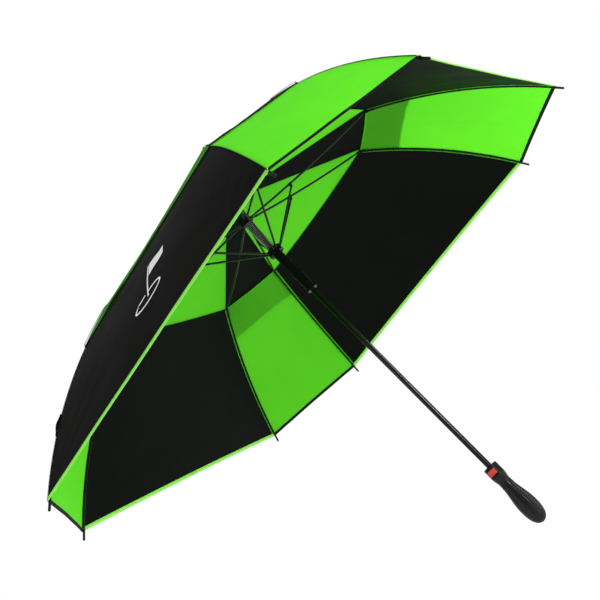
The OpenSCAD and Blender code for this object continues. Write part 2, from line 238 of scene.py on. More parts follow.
# Where the cap laps over the skirt it settles onto it, and flares a little beside one rib.
HEM_SETTLE = 1.8 * MM
HEM_FLARE, FLARE_AT, FLARE_SPREAD = 2.5 * MM, 0.22, 0.08


def cap_point(i, r, t):
    """Vent cap: r is the radius at a rib, up to CAP_R at the hem."""
    r, t = np.broadcast_arrays(np.asarray(r, float), np.asarray(t, float))
    share = (r - CAP_HOLE_R) / (CAP_R - CAP_HOLE_R)
    lap = np.clip((r - VENT_R) / (CAP_R - VENT_R), 0, 1)
    r = r - share * cap_hem_of(i) * bow(t)
    slope = np.arctan((cap_z(r - MM) - cap_z(r + MM)) / (2 * MM))
    width = 2 * r * sin(gap_of(i) / 2)
    ripple = RIPPLE_HEIGHT * bow(t) * np.clip((r - CAP_STILL_R) / CAP_RISE, 0, 1)
    ripple = ripple * np.sin(2 * pi * (r / RIPPLE_LENGTH + 0.31 * i) + 4 * t)
    crease = CAP_CREASE_HEIGHT * np.exp(-np.abs(t - 0.5) * width / CAP_CREASE_WIDTH)
    crease = crease * np.clip(r / CAP_RISE, 0, 1)
    settle = lap * (HEM_FLARE * np.exp(-(((t - FLARE_AT) / FLARE_SPREAD) ** 2)) - HEM_SETTLE)
    out = ripple + crease + settle - CLOTH_DEPTH - CAP_SAG * width * bow(t)
    return ruled(i, r, cap_z(r), t) + middle_normal(i, slope) * np.asarray(out)[..., None]


# ---------------------------------------------------------------- mesh building
def unit(vectors):
    return vectors / np.linalg.norm(vectors, axis=-1, keepdims=True)


def run_of(path):
    """Unit directions of travel along a path."""
    return unit(np.gradient(path, axis=0))


def square_to(across, run):
    """Unit vectors across a run, square to it."""
    return unit(across - (across * run).sum(-1, keepdims=True) * run)


def mesh_object(name, points, faces, material, normals=None, uv=None):
    """One mesh piece. normals and uv are per point."""
    mesh = bpy.data.meshes.new(name)
    mesh.from_pydata([tuple(map(float, p)) for p in points], [], faces)
    mesh.materials.append(material)
    mesh.polygons.foreach_set("use_smooth", [True] * len(mesh.polygons))
    if uv is not None:
        layer = mesh.uv_layers.new(name="cloth")
        corners = np.zeros(len(mesh.loops), int)
        mesh.loops.foreach_get("vertex_index", corners)
        layer.data.foreach_set("uv", np.asarray(uv, float)[corners].ravel())
    mesh.validate()
    mesh.update()
    if normals is not None:
        mesh.normals_split_custom_set_from_vertices([tuple(map(float, n)) for n in normals])
    piece = bpy.data.objects.new(name, mesh)
    bpy.context.scene.collection.objects.link(piece)
    return piece


def grid_faces(rows, columns, closed_columns=False):
    """Quads of a grid of points, row by row."""
    last = columns if closed_columns else columns - 1
    return [(j * columns + k, j * columns + (k + 1) % columns,
             (j + 1) * columns + (k + 1) % columns, (j + 1) * columns + k)
            for j in range(rows - 1) for k in range(last)]


def grid_normals(points):
    """Unit normals of a grid of points, on the side that looks away from the shaft's foot."""
    down, across = np.gradient(points, axis=0), np.gradient(points, axis=1)
    normals = unit(np.cross(down, across))
    return normals if normals[..., 2].mean() > 0 else -normals


def smooth_sides(piece):
    """Shades the quads round, and leaves the end caps flat."""
    piece.data.polygons.foreach_set("use_smooth", [len(p.vertices) == 4 for p in piece.data.polygons])
    return piece


def swept(name, centres, across, up, profile, material):
    """A closed outline of (across, up) offsets carried along a path, with flat ends."""
    centres, across, up = (np.asarray(v, float) for v in (centres, across, up))
    count = len(profile)
    points = np.concatenate([c + np.array([x * a + y * u for x, y in profile])
                             for c, a, u in zip(centres, across, up)])
    faces = grid_faces(len(centres), count, closed_columns=True)
    faces += [tuple(range(count)), tuple(range(len(points) - 1, len(points) - count - 1, -1))]
    travel = np.concatenate([[0], np.cumsum(np.linalg.norm(np.diff(centres, axis=0), axis=1))])
    uv = [(x, d) for d in travel for x, _ in profile]
    return smooth_sides(mesh_object(name, points, faces, material, uv=uv))


def wire(radius, sides):
    """A round outline, as pairs of offsets."""
    return [(radius * cos(a), radius * sin(a)) for a in (2 * pi * k / sides for k in range(sides))]


def oval(half_width, half_height, count=12, shift=0.0):
    """A flat outline with round ends, as pairs of offsets, moved sideways by the shift."""
    return [(shift + half_width * np.sign(cos(a)) * abs(cos(a)) ** 0.5,
             half_height * np.sign(sin(a)) * abs(sin(a)) ** 0.7)
            for a in (2 * pi * (k + 0.5) / count for k in range(count))]


def turned(name, outline, material, sides):
    """A closed shape of revolution about Z. outline is a list of (radius, z) from foot to top."""
    angles = [2 * pi * k / sides for k in range(sides)]
    points = [(r * cos(a), r * sin(a), z) for r, z in outline for a in angles]
    faces = grid_faces(len(outline), sides, closed_columns=True)
    faces += [tuple(reversed(range(sides))), tuple(range(len(points) - sides, len(points)))]
    return smooth_sides(mesh_object(name, points, faces, material))


# ---------------------------------------------------------------- materials
class Nodes:
    """A new node material and short calls to wire it."""

    def __init__(self, name):
        self.material = bpy.data.materials.new(name)
        self.material.use_nodes = True
        self.tree = self.material.node_tree
        self.shader = self.tree.nodes["Principled BSDF"]
        self.output = self.tree.nodes["Material Output"]

    def add(self, kind, **values):
        """A node of that kind. Values name its properties, or its inputs when they start with in_."""
        node = self.tree.nodes.new(kind)
        for key, value in values.items():
            if key.startswith("in_"):
                node.inputs[key[3:].replace("_", " ")].default_value = value
            else:
                setattr(node, key, value)
        return node

    def link(self, source, target):
        self.tree.links.new(source, target)

    def place(self):
        return self.add("ShaderNodeTexCoord").outputs["Object"]

    def noise(self, scale, detail=4.0, roughness=0.55, vector=None):
        node = self.add("ShaderNodeTexNoise", in_Scale=scale, in_Detail=detail, in_Roughness=roughness)
        self.link(vector or self.place(), node.inputs["Vector"])
        return node.outputs["Fac"]

    def scaled(self, factors):
        """Object coordinates stretched by three factors."""
        node = self.add("ShaderNodeMapping", in_Scale=factors)
        self.link(self.place(), node.inputs["Vector"])
        return node.outputs["Vector"]

    def ramp(self, source, low, high, start=0.3, end=0.7):
        """A colour from low to high as the source goes from start to end."""
        node = self.add("ShaderNodeValToRGB")
        node.color_ramp.elements[0].position, node.color_ramp.elements[1].position = start, end
        node.color_ramp.elements[0].color, node.color_ramp.elements[1].color = (*low, 1), (*high, 1)
        self.link(source, node.inputs["Fac"])
        return node.outputs["Color"]

    def spread(self, source, low, high):
        """The middle of a noise's range taken to the range low to high."""
        node = self.add("ShaderNodeMapRange", in_From_Min=0.3, in_From_Max=0.7,
                        in_To_Min=low, in_To_Max=high)
        self.link(source, node.inputs["Value"])
        return node.outputs["Result"]

    def math(self, operation, a, b=None):
        """One operation on one or two sockets or numbers."""
        node = self.add("ShaderNodeMath", operation=operation)
        for socket, value in zip(node.inputs, (a, b)):
            if value is None:
                continue
            if isinstance(value, (int, float)):
                socket.default_value = value
            else:
                self.link(value, socket)
        return node.outputs["Value"]

    def bump(self, height, distance, strength=1.0, under=None):
        """A normal raised by a height from 0 to 1, on top of the normal under it."""
        node = self.add("ShaderNodeBump", in_Strength=strength, in_Distance=distance)
        self.link(height, node.inputs["Height"])
        if under is not None:
            self.link(under, node.inputs["Normal"])
        return node.outputs["Normal"]

    def finish(self, color, roughness, normal, **values):
        """Wires the shader. Values are constants on its own sockets."""
        self.link(color, self.shader.inputs["Base Color"])
        self.link(roughness, self.shader.inputs["Roughness"])
        self.link(normal, self.shader.inputs["Normal"])
        for key, value in values.items():
            self.shader.inputs[key.replace("_", " ")].default_value = value
        return self.material


def cloth_axes(nodes):
    """The piece's own cloth coordinates, in metres across and along."""
    uv = nodes.add("ShaderNodeUVMap", uv_map="cloth").outputs["UV"]
    axes = nodes.add("ShaderNodeSeparateXYZ")
    nodes.link(uv, axes.inputs["Vector"])
    return axes.outputs


def threads(nodes, pitch):
    """Plain weave: two sets of threads that cross."""
    axes = cloth_axes(nodes)
    waves = [nodes.math("SINE", nodes.math("MULTIPLY", axes[n], 2 * pi / pitch)) for n in "XY"]
    crossing = nodes.math("MULTIPLY", waves[0], waves[1])
    return nodes.math("MULTIPLY_ADD", crossing, 0.5)


def fabric(name, deep, bright, through, share, shine):
    """Coated pongee: fine weave, slubs, soft creases, and light that comes through."""
    nodes = Nodes(name)
    broad = nodes.noise(scale=5.0, detail=3.0)
    slub = nodes.noise(scale=900.0, detail=2.0, vector=nodes.scaled((1, 1, 0.15)))
    mixed = nodes.math("ADD", nodes.math("MULTIPLY", broad, 0.7), nodes.math("MULTIPLY", slub, 0.3))
    color = nodes.ramp(mixed, deep, bright, start=0.35, end=0.65)
    creases = nodes.bump(nodes.noise(scale=26.0, detail=5.0, roughness=0.5), 0.9 * MM, strength=0.5)
    weave = nodes.bump(threads(nodes, 0.8 * MM), 0.05 * MM, strength=0.6, under=creases)
    material = nodes.finish(color, nodes.spread(broad, 0.52, 0.66), weave, Specular_IOR_Level=shine)
    glow = nodes.add("ShaderNodeBsdfTranslucent", in_Color=(*through, 1))
    nodes.link(weave, glow.inputs["Normal"])
    mix = nodes.add("ShaderNodeMixShader", in_Fac=share)
    nodes.link(nodes.shader.outputs["BSDF"], mix.inputs[1])
    nodes.link(glow.outputs["BSDF"], mix.inputs[2])
    nodes.link(mix.outputs["Shader"], nodes.output.inputs["Surface"])
    return material


STITCH_AT, STITCH_HALF, STITCH_PITCH = 5.6 * MM, 0.35 * MM, 3 * MM


def binding(name, deep, bright):
    """Woven tape with a line of lockstitch along it."""
    nodes = Nodes(name)
    axes = cloth_axes(nodes)
    off = nodes.math("ABSOLUTE", nodes.math("SUBTRACT", axes["X"], STITCH_AT))
    on_line = nodes.math("LESS_THAN", off, STITCH_HALF)
    beat = nodes.math("SINE", nodes.math("MULTIPLY", axes["Y"], 2 * pi / STITCH_PITCH))
    stitch = nodes.math("MULTIPLY", on_line, nodes.math("GREATER_THAN", beat, -0.4))
    grain = nodes.noise(scale=420.0, detail=3.0)
    base = nodes.ramp(grain, deep, bright)
    mix = nodes.add("ShaderNodeMix", data_type="RGBA")
    nodes.link(stitch, mix.inputs[0])
    nodes.link(base, mix.inputs[6])
    mix.inputs[7].default_value = (*[0.75 * c for c in deep], 1)
    weave = nodes.bump(threads(nodes, 0.7 * MM), 0.08 * MM, strength=0.7)
    normal = nodes.bump(stitch, 0.3 * MM, strength=0.6, under=weave)
    return nodes.finish(mix.outputs[2], nodes.spread(grain, 0.5, 0.7), normal, Specular_IOR_Level=0.08)


def painted_metal(name, deep, bright, gloss):
    """Enamelled steel: faint drawing lines under a slightly worn coat. gloss is its least roughness."""
    nodes = Nodes(name)
    lines = nodes.noise(scale=700.0, detail=3.0, vector=nodes.scaled((1, 1, 0.02)))
    wear = nodes.noise(scale=55.0, detail=6.0, roughness=0.65)
    color = nodes.ramp(wear, deep, bright, start=0.45, end=0.75)
    normal = nodes.bump(lines, 0.001 * MM, strength=0.1)
    return nodes.finish(color, nodes.spread(wear, gloss, gloss + 0.06), normal,
                        Specular_IOR_Level=0.2, Coat_Weight=0.2, Coat_Roughness=0.1)


def bare_steel(name, deep, bright):
    """Drawn spring wire with a light oil film."""
    nodes = Nodes(name)
    lines = nodes.noise(scale=1500.0, detail=3.0, vector=nodes.scaled((1, 1, 0.1)))
    spots = nodes.noise(scale=80.0, detail=5.0, roughness=0.6)
    color = nodes.ramp(spots, deep, bright)
    normal = nodes.bump(lines, 0.02 * MM, strength=0.4)
    return nodes.finish(color, nodes.spread(lines, 0.22, 0.4), normal, Metallic=0.95)


def moulded(name, deep, bright, rough, shine=0.35, grain_scale=900.0, grain_depth=0.05 * MM):
    """Injection-moulded plastic: fine spark grain, soft flow marks and slightly polished spots."""
    nodes = Nodes(name)
    grain = nodes.noise(scale=grain_scale, detail=2.0, roughness=0.6)
    flow = nodes.noise(scale=18.0, detail=4.0, vector=nodes.scaled((1, 1, 0.4)))
    color = nodes.ramp(flow, deep, bright)
    normal = nodes.bump(grain, grain_depth, strength=0.5)
    return nodes.finish(color, nodes.spread(flow, rough - 0.05, rough + 0.08), normal,
                        Specular_IOR_Level=shine)


def grey(value):
    return (value, value, value)


BLACK_CLOTH = fabric("fabric_black", deep=(0.0018, 0.0024, 0.0017), bright=(0.0034, 0.0043, 0.003),
                     through=(0.001, 0.0015, 0.001), share=0.06, shine=0.04)
GREEN_CLOTH = fabric("fabric_green", deep=(0.069, 0.49, 0.0085), bright=(0.105, 0.62, 0.0165),
                     through=(0.14, 0.88, 0.022), share=0.5, shine=0.1)
BLACK_TAPE = binding("binding_black", (0.002, 0.0022, 0.002), grey(0.004))
GREEN_TAPE = binding("binding_green", (0.20, 0.64, 0.075), (0.30, 0.77, 0.12))
WHITE_PRINT = moulded("print_white", grey(0.78), (0.88, 0.88, 0.87), rough=0.6)
SHAFT_BLACK = painted_metal("shaft_black", grey(0.002), grey(0.004), gloss=0.2)
RIB_BLACK = painted_metal("rib_black", grey(0.002), grey(0.004), gloss=0.28)
SPRING_STEEL = bare_steel("spring_steel", grey(0.16), (0.38, 0.38, 0.37))
PLASTIC_BLACK = moulded("plastic_black", grey(0.002), grey(0.005), rough=0.28, shine=0.12)
GRIP_RUBBER = moulded("grip_rubber", grey(0.0025), grey(0.006), rough=0.28, shine=0.2,
                      grain_scale=1400.0, grain_depth=0.03 * MM)
BUTTON_RED = moulded("button_red", (0.44, 0.026, 0.014), (0.56, 0.043, 0.024), rough=0.34)
SNAP_STEEL = bare_steel("snap_steel", grey(0.30), grey(0.5))


def cloth_of(black):
    return (BLACK_CLOTH, "fabric_black") if black else (GREEN_CLOTH, "fabric_green")


def tape_of(black):
    return (BLACK_TAPE, "fabric_black") if black else (GREEN_TAPE, "fabric_green")


# ---------------------------------------------------------------- how each half of a gore moves
# A gore is two halves, each on its own rib. A half is cut across into bands, and the last value of
# each band is the share of its width that the closed canopy keeps.
SIDES = {"left": 0, "right": 1}
SKIRT_BANDS = {
    "upper": (VENT_R, 430 * MM, 0.21),
    "middle": (430 * MM, 500 * MM, 0.17),
    "lower": (500 * MM, CANOPY_R, 0.085)}
CAP_CROWN_R = 60 * MM
CAP_BANDS = {
    "crown": (CAP_HOLE_R, CAP_CROWN_R, None),
    "shoulder": (CAP_CROWN_R, 95 * MM, 0.98),
    "high": (95 * MM, 130 * MM, 0.85),
    "middle": (130 * MM, 175 * MM, 0.61),
    "waist": (175 * MM, 220 * MM, 0.46),
    "low": (220 * MM, 290 * MM, 0.38),
    "knee": (290 * MM, KNEE_R, 0.29),
    "hem": (KNEE_R, CAP_R, 0.21)}


def gather(piece, i, side, ends, keep):
    """Gives a half's piece a mesh of its own. ends are its band's (radius, height) ends."""
    rib = i + side
    (r0, h0), (r1, h1) = ends
    slope = atan2(h0 - h1, r1 - r0)
    lean = atan(tan(gap_of(i) / 4) * sin(slope))
    anchor = at(azimuth(rib), (r0 + r1) / 2, (h0 + h1) / 2)
    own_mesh(piece)


def skirt_ends(band):
    r0, r1, _ = SKIRT_BANDS[band]
    return [(r, float(arc_z(arc_angle(r)))) for r in (r0, r1)]


def cap_ends(band):
    r0, r1, _ = CAP_BANDS[band]
    return [(r, float(cap_z(r))) for r in (r0, r1)]


def move_skirt_part(piece, i, side, band):
    rib = rib_name(i + side)
    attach(piece, f"rib_rod_{rib}")
    gather(piece, i, side, skirt_ends(band), SKIRT_BANDS[band][2])


def move_cap_part(piece, i, side, band):
    rib = rib_name(i + side)
    if band == "crown":
        reach = CAP_CROWN_R * cos(gap_of(i) / 2)
        tuple(at(azimuth(rib), CAP_HOLE_R, CAP_H))
        tuple(at(azimuth(rib), reach, CAP_H))
        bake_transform(piece)
        return
    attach(piece, f"rib_rod_{rib}" if band == "hem" else f"rib_arm_{rib}")
    gather(piece, i, side, cap_ends(band), CAP_BANDS[band][2])


def declare_cloth(i, radii, length):
    """Works out the widths of half a gore's band at its end radii. length is not used."""
    w0, w1 = (r * sin(gap_of(i) / 2) for r in radii)


# ---------------------------------------------------------------- canopy cloth
HALF_COLUMNS = 17


def cut_halves(i, rows, point, widths, travel, named):
    """Builds a gore's grid once and yields both halves of each band, with shared edge normals."""
    t = np.linspace(0, 1, 2 * HALF_COLUMNS - 1)
    points = point(i, rows[:, None], t[None, :])
    normals = grid_normals(points)
    uv = np.stack(np.broadcast_arrays((t[None, :] - 0.5) * widths[:, None], travel[:, None]), axis=-1)
    for band, (first, last) in named.items():
        for side_name, side in SIDES.items():
            columns = slice(0, HALF_COLUMNS) if side == 0 else slice(HALF_COLUMNS - 1, None)
            part = [a[first:last + 1, columns].reshape(-1, a.shape[-1]) for a in (points, normals, uv)]
            faces = grid_faces(last - first + 1, HALF_COLUMNS)
            yield band, side_name, side, part, [f[::-1] for f in faces]


def band_rows(bands, counts, to_row):
    """Row values over all bands, and each band's first and last row."""
    rows, named, start = [], {}, 0
    for (band, (low, high, _)), count in zip(bands.items(), counts):
        values = to_row(np.linspace(low, high, count + 1))
        rows.append(values if not rows else values[1:])
        named[band] = (start, start + count)
        start += count
    return np.concatenate(rows), named


def skirt_row(r):
    return (arc_angle(r) - VENT_A) / (RIM_A - VENT_A)


SKIRT_ROWS, SKIRT_CUTS = band_rows(SKIRT_BANDS, (7, 7, 24), skirt_row)
CAP_ROWS, CAP_CUTS = band_rows(CAP_BANDS, (8, 4, 3, 4, 4, 6, 6, 12), lambda r: r)

for i in PANELS:
    cloth, slot = cloth_of(is_wide(i))
    widths = 2 * arc_r(VENT_A + (RIM_A - VENT_A) * SKIRT_ROWS) * sin(gap_of(i) / 2)
    travel = SKIRT_ROWS * (RIM_A - VENT_A) * ARC_R
    for band, side_name, side, (points, normals, uv), faces in cut_halves(
            i, SKIRT_ROWS, skirt_point, widths, travel, SKIRT_CUTS):
        panel = mesh_object(f"canopy_{i}_{band}_{side_name}", points, faces, cloth, normals, uv)
        move_skirt_part(panel, i, side, band)
        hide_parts(f"canopy_panel_{i}")
        r0, r1, _ = SKIRT_BANDS[band]
        declare_cloth(i, (r0, r1), float(arc_angle(r1) - arc_angle(r0)) * ARC_R)

    cloth, slot = cloth_of(not is_wide(i))
    widths = 2 * CAP_ROWS * sin(gap_of(i) / 2)
    for band, side_name, side, (points, normals, uv), faces in cut_halves(
            i, CAP_ROWS, cap_point, widths, CAP_ROWS, CAP_CUTS):
        panel = mesh_object(f"vent_{i}_{band}_{side_name}", points, faces, cloth, normals, uv)
        move_cap_part(panel, i, side, band)
        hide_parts(f"vent_panel_{i}")
        (r0, h0), (r1, h1) = cap_ends(band)
        declare_cloth(i, (r0, r1), hypot(r1 - r0, h1 - h0))


# ---------------------------------------------------------------- hems, seams and ties
HEM_TAPE = oval(4.1 * MM, 0.8 * MM, shift=3.5 * MM)
CAP_HEM_TAPE = oval(2.2 * MM, 0.6 * MM, shift=1.8 * MM)
VENT_EDGE_FOLD = oval(2.0 * MM, 0.55 * MM, shift=1.6 * MM)
# The line of points that a tape's width is laid towards: a share of the skirt, or this far in on the cap.
INSIDE, CAP_INSIDE = 0.02, 10 * MM


def half_span(side):
    t = np.linspace(0, 0.5, HALF_COLUMNS)
    return t if side == 0 else 1 - t


def edge_tape(name, edge, inner, profile, finish):
    """A folded tape along an edge, its width laid towards the inner line of points."""
    tape, slot = finish
    run = run_of(edge)
    across = square_to(inner - edge, run)
    up = np.cross(run, across)
    up[up[:, 2] < 0] *= -1
    piece = swept(name, edge, across, up, profile, tape)
    return piece


for i in PANELS:
    for side_name, side in SIDES.items():
        t = half_span(side)
        hem = edge_tape(f"hem_{i}_{side_name}", skirt_point(i, 1.0, t), skirt_point(i, 1.0 - INSIDE, t),
                        HEM_TAPE, tape_of(not is_wide(i)))
        move_skirt_part(hem, i, side, "lower")
        hem = edge_tape(f"vent_hem_{i}_{side_name}", cap_point(i, CAP_R, t),
                        cap_point(i, CAP_R - CAP_INSIDE, t), CAP_HEM_TAPE, tape_of(black=True))
        move_cap_part(hem, i, side, "hem")
        hem = edge_tape(f"vent_edge_{i}_{side_name}", skirt_point(i, 0.0, t), skirt_point(i, INSIDE, t),
                        VENT_EDGE_FOLD, cloth_of(is_wide(i)))
        move_skirt_part(hem, i, side, "upper")

SEAM = oval(1.2 * MM, 0.4 * MM)
SEAM_LIFT = 0.2 * MM
# The raw edges inside each seam, turned over onto the wide gore's cloth beside the rib.
ALLOWANCE = oval(2.0 * MM, 0.25 * MM)
ALLOWANCE_OFF = 5.4 * MM
ALLOWANCE_LIFT = -0.9 * MM


def seam(name, i, points, body, material, profile=SEAM, across=None):
    """A strip along rib i. across is square to the rib's plane unless it is given."""
    run = run_of(points)
    if across is None:
        across = np.repeat(tangent(i)[None], len(points), axis=0)
    across = square_to(across, run)
    piece = swept(name, points, across, np.cross(run, across), profile, material)
    if body:
        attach(piece, body)
    return piece


def rib_arc(start, end):
    """Arc angles along a rib, from start below the wind opening's edge to end above the hem."""
    return np.linspace(VENT_A + start / ARC_R, RIM_A - end / ARC_R, 40)


def skirt_seam(i):
    a = rib_arc(1.6 * MM, 4 * MM)
    path = at(azimuth(i), arc_r(a, -SEAM_LIFT), arc_z(a, -SEAM_LIFT))
    seam(f"seam_{i}", i, path, f"rib_rod_{i}", BLACK_CLOTH)


def seam_allowance(i):
    a = rib_arc(3 * MM, 8 * MM)
    gore = i if is_wide(i) else rib_name(i - 1)
    off = ALLOWANCE_OFF / (2 * arc_r(a) * sin(gap_of(gore) / 2))
    down = (a - VENT_A) / (RIM_A - VENT_A)
    near, far = (off, 2 * off) if is_wide(i) else (1 - off, 1 - 2 * off)
    seam(f"seam_allowance_{i}", i, skirt_point(gore, down, near, ALLOWANCE_LIFT), f"rib_rod_{i}",
         GREEN_CLOTH, ALLOWANCE, skirt_point(gore, down, far) - skirt_point(gore, down, near))


for i in PANELS:
    skirt_seam(i)
    seam_allowance(i)
    for band, (r0, r1, _) in CAP_BANDS.items():
        r = np.linspace(r0, r1 - (2 * MM if band == "hem" else 0), 14)
        path = at(azimuth(i), r, cap_z(r) + SEAM_LIFT)
        if band == "crown":
            piece = seam(f"vent_seam_{i}_{band}", i, path, None, BLACK_CLOTH)
            tuple(at(azimuth(i), r0, CAP_H))
            tuple(at(azimuth(i), r1, CAP_H))
            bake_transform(piece)
        else:
            body = f"rib_rod_{i}" if band == "hem" else f"rib_arm_{i}"
            seam(f"vent_seam_{i}_{band}", i, path, body, BLACK_CLOTH)


TIE_TURNS, TIE_STEPS, TIE_SPACING = 3, 20, 2.1
ROD_R, THREAD_R = 2.0 * MM, 0.3 * MM


def tie(name, i, arc):
    """Thread wound round the rod and through the seam, at an arc angle."""
    out = np.array([0, 0, cos(arc)]) + sin(arc) * radial(i)
    run = cos(arc) * radial(i) - np.array([0, 0, sin(arc)])
    centre = at(azimuth(i), arc_r(arc, ROD_DROP), arc_z(arc, ROD_DROP))
    angles = np.linspace(0, 2 * pi * TIE_TURNS, TIE_STEPS * TIE_TURNS)
    reach = ROD_R + THREAD_R
    tall = np.where(np.cos(angles) > 0, ROD_DROP - reach + 0.1 * MM, 0.0)
    path = np.array([centre + tangent(i) * reach * sin(b) + out * (reach * cos(b) + extra)
                     + run * THREAD_R * TIE_SPACING * b / (2 * pi) for b, extra in zip(angles, tall)])
    side = np.repeat(run[None], len(path), axis=0)
    piece = swept(name, path, side, unit(path - centre), wire(THREAD_R, 6), BLACK_TAPE)
    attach(piece, f"rib_rod_{i}")


for i in PANELS:
    for n, share in enumerate((0.2, 0.5, 0.8)):
        tie(f"rib_tie_{i}_{n + 1}", i, VENT_A + share * (RIM_A - VENT_A))

# ---------------------------------------------------------------- sleeves of the arms and stretchers
# A glass fibre sleeve runs along the middle of each arm, where it dips a little, and of each stretcher.
SLEEVE_R = 2.4 * MM
ARM_DIP = 5 * MM
ARM_ENDS = (14 * MM, 24 * MM)
STRETCHER_ENDS = (12 * MM, 11 * MM)
RUNNER_PIN = (14 * MM, 771 * MM)


def sleeve(name, i, ends, margins, dip, body):
    """A round sleeve between two (radius, height) ends in rib i's plane, short of them by the margins."""
    (r0, h0), (r1, h1) = ends
    chord = hypot(r1 - r0, h1 - h0)
    x = np.linspace(margins[0], chord - margins[1], 22)
    share, low = x / chord, dip * bow(x / chord)
    slope = atan2(h1 - h0, r1 - r0)
    path = at(azimuth(i), r0 + (r1 - r0) * share + low * sin(slope),
              h0 + (h1 - h0) * share - low * cos(slope))
    seam(name, i, path, body, RIB_BLACK, wire(SLEEVE_R, 14))


def joint_place(name):
    """A joint's radius, and its height above the grip's lower end."""
    x, y, z = JOINTS[name]["pos_m"]
    return float(np.hypot(x, y)), z + GRIP_MID


for i in PANELS:
    hub, knee = joint_place(f"rib_{i}_fold"), joint_place(f"rod_{i}_flex")
    clip = joint_place(f"stretcher_{i}_swing")
    sleeve(f"arm_sleeve_{i}", i, (hub, knee), ARM_ENDS, ARM_DIP, f"rib_arm_{i}")
    sleeve(f"stretcher_sleeve_{i}", i, (clip, RUNNER_PIN), STRETCHER_ENDS, 0.0, f"stretcher_{i}")

# ---------------------------------------------------------------- crown patch
PATCH_R, PATCH_HOLE_R = 34 * MM, 6.5 * MM
PATCH_LIFT, PATCH_THICK = 0.9 * MM, 0.5 * MM
PINK_DEPTH, PINK_STEPS = 0.03, 6


def crown_patch():
    """Round reinforcement under the ferrule with a pinked edge."""
    sides, rings = 96, np.linspace(PATCH_HOLE_R, PATCH_R, 10)
    points = []
    for r in rings:
        for k in range(sides):
            a = 2 * pi * k / sides
            edge = 1 + (PINK_DEPTH * abs((k % PINK_STEPS) / (PINK_STEPS / 2) - 1) if r == rings[-1] else 0)
            points.append(at(degrees(a), r * edge, float(cap_z(max(r, CAP_HOLE_R))) + PATCH_LIFT))
    points += [p - np.array([0, 0, PATCH_THICK]) for p in points]
    outer = grid_faces(len(rings), sides, closed_columns=True)
    shift, last = len(rings) * sides, (len(rings) - 1) * sides
    inner = [tuple(shift + v for v in reversed(f)) for f in outer]
    rim = [(last + k, last + (k + 1) % sides, shift + last + (k + 1) % sides, shift + last + k)
           for k in range(sides)]
    hole = [((k + 1) % sides, k, shift + k, shift + (k + 1) % sides) for k in range(sides)]
    uv = [(p[0], p[1]) for p in points]
    patch = mesh_object("crown_patch", points, outer + inner + rim + hole, BLACK_CLOTH, uv=uv)
    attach(patch, "frame")


crown_patch()

# ---------------------------------------------------------------- printed emblem: a plain golf flag
EMBLEM_PANEL, EMBLEM_S, EMBLEM_T = 8, 0.60, 0.56
EMBLEM_LIFT = 0.9 * MM
POLE_X, POLE_TOP, POLE_FOOT, POLE_W = -10 * MM, 60 * MM, -46 * MM, 4 * MM
FLAG_LONG, FLAG_TALL, FLAG_TAPER, FLAG_WAVE = 50 * MM, 44 * MM, (10 * MM, 8 * MM), 2 * MM
GREEN_R, GREEN_LINE = (44 * MM, 16 * MM), (5 * MM, 4 * MM)
GREEN_FROM, GREEN_TURN = 100, 344
PRINT_COLUMNS = 7


def on_panel(x, y):
    """A point x across and y up from the emblem's middle, just above the cloth."""
    s = EMBLEM_S - y / ((RIM_A - VENT_A) * ARC_R)
    r = arc_r(VENT_A + (RIM_A - VENT_A) * s)
    t = EMBLEM_T + x / (2 * r * sin(gap_of(EMBLEM_PANEL) / 2))
    return skirt_point(EMBLEM_PANEL, s, t, EMBLEM_LIFT)


def printed(name, outline_pairs):
    """A flat print between two lines of points, each (x, y)."""
    steps = np.linspace(0, 1, PRINT_COLUMNS)
    rows = np.array([[on_panel(*(np.array(a) * (1 - k) + np.array(b) * k)) for k in steps]
                     for a, b in outline_pairs])
    normals = grid_normals(rows).reshape(-1, 3)
    faces = grid_faces(len(rows), PRINT_COLUMNS)
    x_run, y_run = rows[1, 0] - rows[0, 0], rows[0, 1] - rows[0, 0]
    if np.cross(x_run, y_run) @ normals[0] > 0:
        faces = [f[::-1] for f in faces]
    piece = mesh_object(name, rows.reshape(-1, 3), faces, WHITE_PRINT, normals)
    move_skirt_part(piece, EMBLEM_PANEL, 1, "lower")


def emblem():
    """A pole, a waving flag that narrows, and the green as a ring with its gap where the pole meets it."""
    steps = np.linspace(0, 1, 15)
    heights = [POLE_FOOT + (POLE_TOP - POLE_FOOT) * k for k in steps]
    printed("emblem_pole", [((POLE_X, y), (POLE_X + POLE_W, y)) for y in heights])
    flag_x = POLE_X + POLE_W + 2 * MM
    flag = [(flag_x + FLAG_LONG * k, POLE_TOP + FLAG_WAVE * sin(2 * pi * k), k) for k in steps]
    printed("emblem_flag", [((x, y - FLAG_TAPER[0] * k), (x, y - FLAG_TALL + FLAG_TAPER[1] * k))
                            for x, y, k in flag])
    ring = [radians(GREEN_FROM + GREEN_TURN * k) for k in np.linspace(0, 1, 57)]
    across, up = GREEN_R
    printed("emblem_green", [((POLE_X + across * cos(a), POLE_FOOT + up * sin(a)),
                              (POLE_X + (across - GREEN_LINE[0]) * cos(a),
                               POLE_FOOT + (up - GREEN_LINE[1]) * sin(a))) for a in ring])


emblem()

# ---------------------------------------------------------------- closure strap
STRAP_PANEL, STRAP_S, STRAP_T = 7, 0.66, 0.93
STRAP_LIFT, STRAP_HALF = 1.2 * MM, 24 * MM
STRAP_FOLD_R, STRAP_ARCH, STRAP_BACK = 1.6 * MM, 3.2 * MM, 1.7
STRAP_WEBBING = oval(11.5 * MM, 0.45 * MM, 20)
SNAP_FROM_END, SNAP_SIDES = 9 * MM, 32
SNAP_OUTLINE = [(0.1, 1.5), (2.4, 1.45), (3.4, 1.0), (4.6, 0.9), (5.2, 0.5), (5.2, 0.0)]


